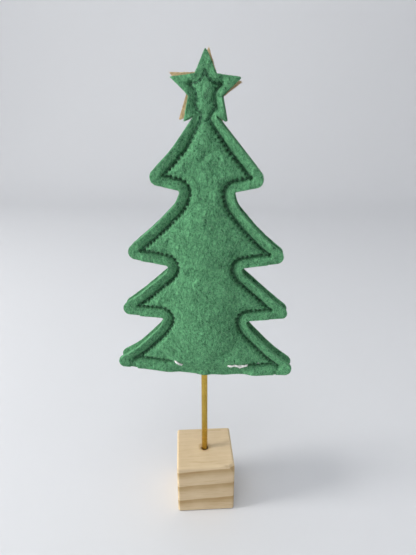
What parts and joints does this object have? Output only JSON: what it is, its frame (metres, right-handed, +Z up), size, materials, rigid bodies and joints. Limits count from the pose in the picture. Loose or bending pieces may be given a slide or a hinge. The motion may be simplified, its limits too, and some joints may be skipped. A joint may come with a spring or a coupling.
{
  "type": "felt christmas tree",
  "caption": "Stuffed green felt christmas tree with a star, machine-sewn round the rim, on a brass rod that stands in a small light wood block.",
  "frame": {"origin": "centre of the wooden block's bottom face", "axes": "+Z up along the brass rod; +X along the tree's width, to the right as seen from the front; the tree's front faces -Y and the gold star is on its +Y side"},
  "size_m": [0.1083, 0.0432, 0.2863],
  "materials": {
    "wood": "matte",
    "brass": "satin",
    "green_felt": "matte",
    "gold_felt": "matte",
    "filling": "matte",
    "green_thread": "matte",
    "white_thread": "matte"
  },
  "bodies": {
    "base": {"base_block": "wood"},
    "post": {"brass_rod": "brass"},
    "tree": {"front_felt": "green_felt", "back_felt": "green_felt", "stuffing": "filling", "gold_star": "gold_felt", "needle_thread": "green_thread", "bobbin_thread": "green_thread", "closing_stitch_left": "white_thread", "closing_stitch_right": "white_thread"}
  },
  "joints": [
    {"name": "rod_lift", "type": "slide", "parent": "base", "child": "post", "axis": [0, 0, 1], "range_m": [0, 0.03]},
    {"name": "tree_turn", "type": "hinge", "parent": "post", "child": "tree", "pos_m": [0, 0, 0.165], "axis": [0, 0, 1], "continuous": true}
  ]
}
